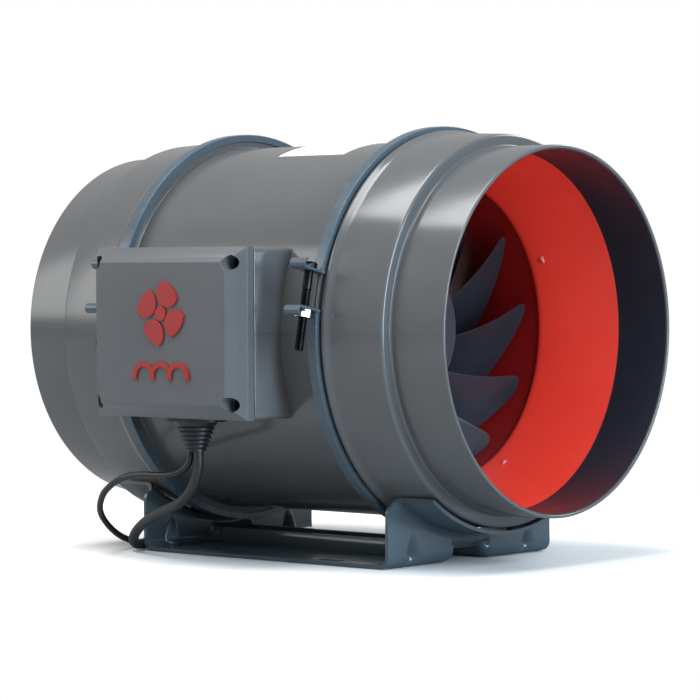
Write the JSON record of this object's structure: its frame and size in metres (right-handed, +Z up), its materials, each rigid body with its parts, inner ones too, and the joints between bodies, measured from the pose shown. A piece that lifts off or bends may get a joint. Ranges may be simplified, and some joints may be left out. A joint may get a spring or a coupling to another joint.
{
  "type": "inline duct fan",
  "caption": "Mixed-flow inline duct fan with push-on spigots, clamp bands, terminal box, red inlet bell, external-rotor motor and a pressed cradle.",
  "frame": {"origin": "on the surface the cradle stands on, at the centre of its four fixing slots, half way between the spigot rims", "axes": "+X along the duct towards the inlet, -Y towards the terminal box lid, +Z up"},
  "size_m": [0.4965, 0.3922, 0.2955],
  "materials": {
    "grey_moulding": "glossy grey moulded plastic with a faint flow texture",
    "lid_moulding": "glossy grey moulded plastic, slightly darker",
    "rubber": "matt black sealing rubber",
    "gland_rubber": "dark grey moulded rubber",
    "band_steel": "grey-blue powder coat on rolled steel",
    "cradle_paint": "glossy grey-blue powder coat on pressed sheet",
    "black_steel": "black oxide on steel",
    "red_moulding": "glossy bright red moulded plastic",
    "red_screw": "red lacquered screw heads",
    "dark_red_moulding": "glossy red moulded plastic in shade",
    "emblem_red": "raised bright red moulding",
    "blade_plastic": "charcoal glass-filled plastic with a satin gloss",
    "zinc_steel": "zinc-plated drawn steel",
    "bright_steel": "bright plated steel",
    "bearing_steel": "ground and polished bearing steel",
    "magnet": "bonded ferrite, dull grey",
    "brass": "pressed brass",
    "core_steel": "stacked electrical-steel laminations",
    "copper": "enamelled copper wire",
    "circuit_board": "green solder mask on fibreglass",
    "cast_aluminium": "die-cast aluminium",
    "terminal_plastic": "dark terminal plastic",
    "label_vinyl": "blank white vinyl label",
    "cord_jacket": "dark grey flexible cord jacket",
    "thin_cord_jacket": "black flexible cord jacket",
    "tie_strap": "black woven hook strap",
    "plug_rubber": "moulded black plug body"
  },
  "bodies": {
    "housing": {"casing": "grey_moulding", "terminal_box": "grey_moulding", "inlet_collar": "grey_moulding", "outlet_collar": "grey_moulding", "inlet_seal": "rubber", "outlet_seal": "rubber", "inlet_band": "band_steel", "outlet_band": "band_steel", "clamp_screws": "black_steel", "clamp_nuts": "bright_steel", "inlet_bell": "red_moulding", "bell_screws": "red_screw", "impeller_duct": "dark_red_moulding", "duct_screws": "bright_steel", "bearing_outer_rings": "bearing_steel", "stator_core": "core_steel", "stator_windings": "copper", "motor_board": "circuit_board", "motor_mount": "cast_aluminium", "motor_screws": "black_steel", "guide_vanes": "blade_plastic", "motor_lead": "cord_jacket", "lead_grommet": "rubber", "lid_seal": "rubber", "control_board": "circuit_board", "board_screws": "bright_steel", "terminal_block": "terminal_plastic", "cradle": "cradle_paint", "cradle_screws": "black_steel", "rating_label": "label_vinyl", "cable_gland": "gland_rubber", "mains_lead": "cord_jacket", "mains_coil": "cord_jacket", "mains_tie": "tie_strap", "mains_plug": "plug_rubber", "control_lead": "thin_cord_jacket", "control_coil": "thin_cord_jacket", "control_tie": "tie_strap", "control_plug": "plug_rubber"},
    "rotor": {"impeller_hub": "blade_plastic", "impeller_blades": "blade_plastic", "rotor_can": "zinc_steel", "rotor_magnets": "magnet", "motor_shaft": "bright_steel", "shaft_nut": "bright_steel", "bearing_inner_rings": "bearing_steel"},
    "ball_cage": {"bearing_balls": "bearing_steel", "bearing_cages": "brass"},
    "lid": {"box_lid": "lid_moulding", "lid_screws": "black_steel", "lid_emblem": "emblem_red"}
  },
  "joints": [
    {"name": "impeller_spin", "type": "hinge", "parent": "housing", "child": "rotor", "pos_m": [0, 0, 0.1565], "axis": [1, 0, 0], "continuous": true},
    {"name": "ball_cage_spin", "type": "hinge", "parent": "housing", "child": "ball_cage", "pos_m": [0, 0, 0.1565], "axis": [1, 0, 0], "continuous": true},
    {"name": "lid_lift", "type": "slide", "parent": "housing", "child": "lid", "axis": [0, -1, 0], "range_m": [0, 0.08]}
  ],
  "couplings": [
    {"joint": "ball_cage_spin", "follows": "impeller_spin", "ratio": 0.381}
  ]
}
